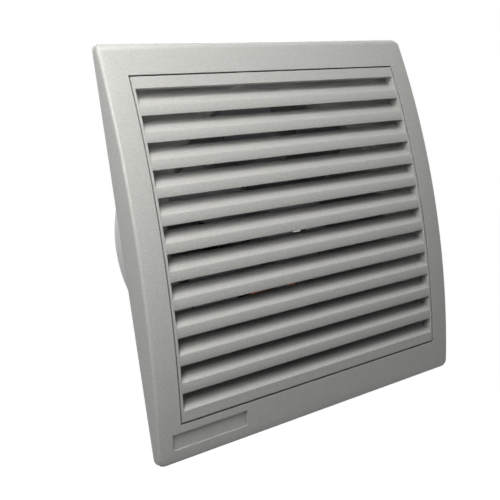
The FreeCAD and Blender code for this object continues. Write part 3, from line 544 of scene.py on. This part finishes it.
# Impeller: one grey moulding, a cup-shaped hub with seven twisted and rolled blades. A hexagon nut
# in the hub's recess holds it on the shaft.
BLADES = 7
BLADE_THICK = 0.0018
BLADE_GRID = (20, 14)
ROLL_RADIUS = 0.048
ROLL_LEAN = math.radians(22.5)
BLADE_PITCH = math.radians(30)
BLADE_MIDDLE = 0.0048
ROOT_CHORD = 0.020
TIP_CHORD = 0.032
HUB_RADIUS = 0.023
HUB_WALL = 0.002
HUB_NOSE = 0.003
NOSE_ROUND = 0.0012
HUB_SEGMENTS = 96
NUT_RECESS = 0.007
NUT_SEAT = 0.0034
BOSS_RADIUS = 0.0055
SHAFT_RADIUS = 0.0025
fan_low, fan_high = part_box("impeller")
tip_radius = fan_high[0]
fan_grey = finish("fan_grey", (0.36, 0.37, 0.39, 1), metallic=0, roughness=0.40, fineness=1700,
                  depth=0.15, spread=0.06, dusty=0.3)
bed = bmesh.new()
seat = fan_low[1] + NUT_SEAT
profile = [
    (SHAFT_RADIUS, seat),
    (NUT_RECESS, seat),
    (NUT_RECESS, fan_low[1]),
    (HUB_RADIUS - HUB_NOSE, fan_low[1]),
    (HUB_RADIUS, fan_low[1] + HUB_NOSE),
    (HUB_RADIUS, fan_high[1]),
    (HUB_RADIUS - HUB_WALL, fan_high[1]),
    (HUB_RADIUS - HUB_WALL, seat + HUB_WALL),
    (BOSS_RADIUS, seat + HUB_WALL),
    (BOSS_RADIUS, fan_high[1]),
    (SHAFT_RADIUS, fan_high[1]),
]
corners = [bed.verts.new((radius, along, 0)) for radius, along in profile]
for index, corner in enumerate(corners):
    bed.edges.new((corner, corners[index - 1]))
rounded(bed, corners[3:5], NOSE_ROUND, 4, "VERTICES")
bmesh.ops.spin(bed, geom=bed.verts[:] + bed.edges[:], cent=(0, 0, 0), axis=(0, 1, 0),
               angle=math.tau, steps=HUB_SEGMENTS, use_merge=True)
bmesh.ops.remove_doubles(bed, verts=bed.verts, dist=NEAR)
bmesh.ops.recalc_face_normals(bed, faces=bed.faces)
seated(made(bed, "impeller_hub", fan_grey, edge=0.0003), "impeller")

mid_span = (HUB_RADIUS + tip_radius) / 2
bed = bmesh.new()
root = HUB_RADIUS - HUB_WALL / 2
bmesh.ops.create_grid(bed, x_segments=BLADE_GRID[0], y_segments=BLADE_GRID[1], size=0.5)
for vert in bed.verts:
    along = vert.co.x + 0.5
    across = vert.co.y
    chord = ROOT_CHORD + (TIP_CHORD - ROOT_CHORD) * along
    reach = root + (tip_radius - root) * along
    width = chord * across
    off_roll = (width - (mid_span - reach) * math.tan(ROLL_LEAN)) * math.cos(ROLL_LEAN)
    rise = math.sqrt(ROLL_RADIUS ** 2 - off_roll ** 2) - ROLL_RADIUS
    tilted = Matrix.Rotation(-BLADE_PITCH, 3, "X") @ Vector((reach, rise, width))
    out = math.sqrt(max(reach ** 2 - tilted.z ** 2, 0))
    vert.co = (out, tilted.y + BLADE_MIDDLE, tilted.z)
bmesh.ops.recalc_face_normals(bed, faces=bed.faces)
first = bed.verts[:] + bed.edges[:] + bed.faces[:]
for index in range(1, BLADES):
    copy = bmesh.ops.duplicate(bed, geom=first)["geom"]
    bmesh.ops.rotate(bed, verts=verts_in(copy), cent=(0, 0, 0),
                     matrix=Matrix.Rotation(math.tau * index / BLADES, 3, "Y"))
seated(made(bed, "impeller_blades", fan_grey, edge=0.0005, wall=BLADE_THICK, wall_side=0), "impeller")
cleaned("impeller_nut", bright_steel, edge=0.0002)

# Front cover: a crowned shell moulded in one and painted in satin silver. A collar and a ledge
# round its opening carry the grille, and a shallow pocket in the lower border stays bare.
PANEL_RISE = 0.0112
CORNER_ROUND = 0.004
FRONT_ROUND = 0.0016
SHORTEST_CORNER = 0.001
SQUARE_REAR = 0.003
COVER_WALL = 0.0018
BORDER_SIDE = 0.0127
BORDER_TOP = 0.0171
BORDER_BOTTOM = 0.0175
LEDGE_DEPTH = 0.005
LEDGE_WIDTH = 0.0017
POCKET_INSET = (0.008, 0.0062)
POCKET_SIZE = (0.043, 0.0078)
POCKET_DEPTH = 0.0014
DIMPLE_PLACE = (0.0787, -0.0918)
DIMPLE_RADIUS = 0.0008
DIMPLE_DEPTH = 0.0008
CROWN_CUTS = 40
cover_low, cover_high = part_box("front_cover")
half = cover_high[0]
front = cover_low[1]
crown_radius = (half ** 2 + PANEL_RISE ** 2) / (2 * PANEL_RISE)


def crown_at(up):
    """How far back the crowned front lies at a height."""
    return front + crown_radius - math.sqrt(crown_radius ** 2 - up ** 2)


def flat_ring(bed, outer, inner):
    """A flat ring in the plane of the wall between two rectangles (left, right, low, high), cut
    at many heights so that it can bend to the crown."""
    for left, right, low, high in (outer, inner):
        bmesh.ops.create_grid(bed, x_segments=1, y_segments=1, size=0.5,
                              matrix=Matrix.Translation(((left + right) / 2, 0, (low + high) / 2))
                              @ Matrix.Rotation(math.radians(90), 4, "X")
                              @ Matrix.Diagonal((right - left, high - low, 1, 1)))
    bmesh.ops.delete(bed, geom=bed.faces[:], context="FACES_ONLY")
    bmesh.ops.bridge_loops(bed, edges=bed.edges[:])
    for index in range(1, CROWN_CUTS):
        cut_at(bed, bed.faces[:], (0, 0, half * (2 * index / CROWN_CUTS - 1)), (0, 0, 1))
    bmesh.ops.recalc_face_normals(bed, faces=bed.faces)
    if sum(face.normal.y for face in bed.faces) > 0:
        bmesh.ops.reverse_faces(bed, faces=bed.faces)


open_side = half - BORDER_SIDE
open_low = BORDER_BOTTOM - half
open_high = half - BORDER_TOP
bed = bmesh.new()
flat_ring(bed, (-half, half, -half, half), (-open_side, open_side, open_low, open_high))
pocket_left = POCKET_INSET[0] - half
pocket_low = POCKET_INSET[1] - half
sunk_patch(bed, pocket_left, pocket_left + POCKET_SIZE[0], pocket_low, pocket_low + POCKET_SIZE[1],
           NEAR, POCKET_DEPTH)
sunk_patch(bed, DIMPLE_PLACE[0] - DIMPLE_RADIUS, DIMPLE_PLACE[0] + DIMPLE_RADIUS,
           DIMPLE_PLACE[1] - DIMPLE_RADIUS, DIMPLE_PLACE[1] + DIMPLE_RADIUS, NEAR, DIMPLE_DEPTH)
opening = [joint for joint in bed.edges if joint.is_boundary
           and max(abs(vert.co.x) for vert in joint.verts) < half - NEAR
           and max(abs(vert.co.z) for vert in joint.verts) < half - NEAR]
grown = bmesh.ops.extrude_edge_only(bed, edges=opening)["geom"]
bmesh.ops.translate(bed, verts=verts_in(grown), vec=(0, LEDGE_DEPTH, 0))
grown = bmesh.ops.extrude_edge_only(bed, edges=edges_in(grown))["geom"]
shrink = (1 - LEDGE_WIDTH / open_side, 1, 1 - 2 * LEDGE_WIDTH / (open_high - open_low))
bmesh.ops.scale(bed, verts=verts_in(grown), vec=shrink,
                space=Matrix.Translation((0, 0, -(open_high + open_low) / 2)))
for vert in bed.verts:
    vert.co.y += crown_at(vert.co.z)
outer = [joint for joint in bed.edges if joint.is_boundary
         and max(abs(joint.verts[0].co.x), abs(joint.verts[0].co.z)) > half - NEAR]
for vert in verts_in(bmesh.ops.extrude_edge_only(bed, edges=outer)["geom"]):
    vert.co.y = cover_high[1]
bmesh.ops.recalc_face_normals(bed, faces=bed.faces)
corners = [joint for joint in bed.edges if joint.calc_length() > SHORTEST_CORNER
           and all(min(abs(vert.co.x), abs(vert.co.z)) > half - NEAR for vert in joint.verts)]
rounded(bed, corners, CORNER_ROUND, 7)
bed.normal_update()
rim = [joint for joint in bed.edges if len(joint.link_faces) == 2
       and sorted(abs(face.normal.y) > 0.5 for face in joint.link_faces) == [False, True]
       and all(max(abs(vert.co.x), abs(vert.co.z)) > half - CORNER_ROUND for vert in joint.verts)
       and min(vert.co.y for vert in joint.verts) < cover_high[1] - SQUARE_REAR]
rounded(bed, rim, FRONT_ROUND, 4)
bmesh.ops.recalc_face_normals(bed, faces=bed.faces)
if sum(face.normal.y * face.calc_area() for face in bed.faces) > 0:
    bmesh.ops.reverse_faces(bed, faces=bed.faces)

# The silver paint of the cover and the grille: fine metal flakes in a satin coat, each a little
# lighter or darker, over a slight orange peel.
PAINT_SILVER = (0.47, 0.47, 0.455, 1)
PAINT_SHINE = 0.35
FLAKE_COUNT = 2600
FLAKE_TONES = (0.90, 1.10)
silver = finish("silver_paint", PAINT_SILVER, metallic=0.05, roughness=0.40, fineness=5200,
                depth=0.10, spread=0.03, dusty=0.0, gloss_spread=0.10)
tree = silver.node_tree
skin = tree.nodes["Principled BSDF"]
skin.inputs["Specular IOR Level"].default_value = PAINT_SHINE
place = added(tree, "TexCoord")
flakes = added(tree, "TexVoronoi", Scale=FLAKE_COUNT)
glint = added(tree, "SeparateColor")
spark = added(tree, "MapRange", To_Min=FLAKE_TONES[0], To_Max=FLAKE_TONES[1])
sparkle = added(tree, "HueSaturation")
tree.links.new(place.outputs["Object"], flakes.inputs["Vector"])
tree.links.new(flakes.outputs["Color"], glint.inputs["Color"])
tree.links.new(glint.outputs["Red"], spark.inputs["Value"])
tree.links.new(spark.outputs["Result"], sparkle.inputs["Value"])
tree.links.new(effect_in(silver, dust).outputs["Colour"], sparkle.inputs["Color"])
tree.links.new(sparkle.outputs["Color"], skin.inputs["Base Color"])
seated(made(bed, "cover_shell", silver, edge=0.00025, wall=COVER_WALL), "front_cover")

# Louvre grille: an insert moulded in one and painted like the cover, a thin rim with eleven slats.
# Each slat has a front lip that follows the crown and a blade that rises behind it. One more blade
# rises behind the lower rail.
GRILLE_GAP = 0.0008
RIM_SIDE = 0.0013
RIM_DEPTH = 0.0048
RAIL_TOP = 0.0061
RAIL_BOTTOM = 0.0056
SLATS = 11
LIP_HEIGHT = 0.0051
LIP_SET = 0.00015
SLAT_WALL = 0.0016
BLADE_DEPTH = 0.0072
BLADE_RISE = 0.0063
LIP_EDGE = 0.0003
rim_side = open_side - GRILLE_GAP
rim_low = open_low + GRILLE_GAP
rim_high = open_high - GRILLE_GAP
gap_side = rim_side - RIM_SIDE
gap_low = rim_low + RAIL_BOTTOM
gap_high = rim_high - RAIL_TOP
bed = bmesh.new()
flat_ring(bed, (-rim_side, rim_side, rim_low, rim_high), (-gap_side, gap_side, gap_low, gap_high))
grown = bmesh.ops.extrude_face_region(bed, geom=bed.faces[:])["geom"]
bmesh.ops.translate(bed, verts=verts_in(grown), vec=(0, RIM_DEPTH, 0))
for vert in bed.verts:
    vert.co.y += crown_at(vert.co.z)
bmesh.ops.recalc_face_normals(bed, faces=bed.faces)
seated(made(bed, "grille_rim", silver, edge=0.00025), "louvre_grille")

drop = SLAT_WALL * math.hypot(1, BLADE_RISE / BLADE_DEPTH)
section = [
    (0, 0),
    (SLAT_WALL, 0),
    (SLAT_WALL, LIP_HEIGHT + BLADE_RISE * SLAT_WALL / BLADE_DEPTH - drop),
    (BLADE_DEPTH, LIP_HEIGHT + BLADE_RISE - drop),
    (BLADE_DEPTH, LIP_HEIGHT + BLADE_RISE),
    (0, LIP_HEIGHT),
]
pitch = (gap_high - gap_low + LIP_HEIGHT) / (SLATS + 1)
bed = bmesh.new()
end = bed.faces.new([bed.verts.new((-gap_side, back, up)) for back, up in section])
grown = bmesh.ops.extrude_face_region(bed, geom=[end])["geom"]
bmesh.ops.translate(bed, verts=verts_in(grown), vec=(2 * gap_side, 0, 0))
bmesh.ops.recalc_face_normals(bed, faces=bed.faces)
rounded(bed, [joint for joint in bed.edges if joint.calc_length() > gap_side], LIP_EDGE, 2)
first = bed.verts[:] + bed.edges[:] + bed.faces[:]
rows = [bed.verts[:]]
for index in range(SLATS):
    rows.append(verts_in(bmesh.ops.duplicate(bed, geom=first)["geom"]))
for index, row in enumerate(rows):
    lip_low = gap_low - LIP_HEIGHT + pitch * index
    bmesh.ops.translate(bed, verts=row, vec=(0, LIP_SET, lip_low))
    for vert in row:
        vert.co.y += crown_at(min(vert.co.z, lip_low + LIP_HEIGHT))
seated(made(bed, "grille_slats", silver), "louvre_grille")

# Gravity shutter: a white moulded disc in the spigot's mouth with five windows, and a hinged flap
# behind each that the fan's air lifts and its own weight closes.
FLAPS = 5
shutter_white = finish("shutter_white", (0.78, 0.79, 0.78, 1), metallic=0, roughness=0.45,
                       fineness=1800, depth=0.18, spread=0.05, dusty=0.12)
cleaned("shutter_frame", shutter_white, edge=0.0003)
for index in range(FLAPS):
    cleaned(f"shutter_flap_{index + 1}", shutter_white, edge=0.0003)
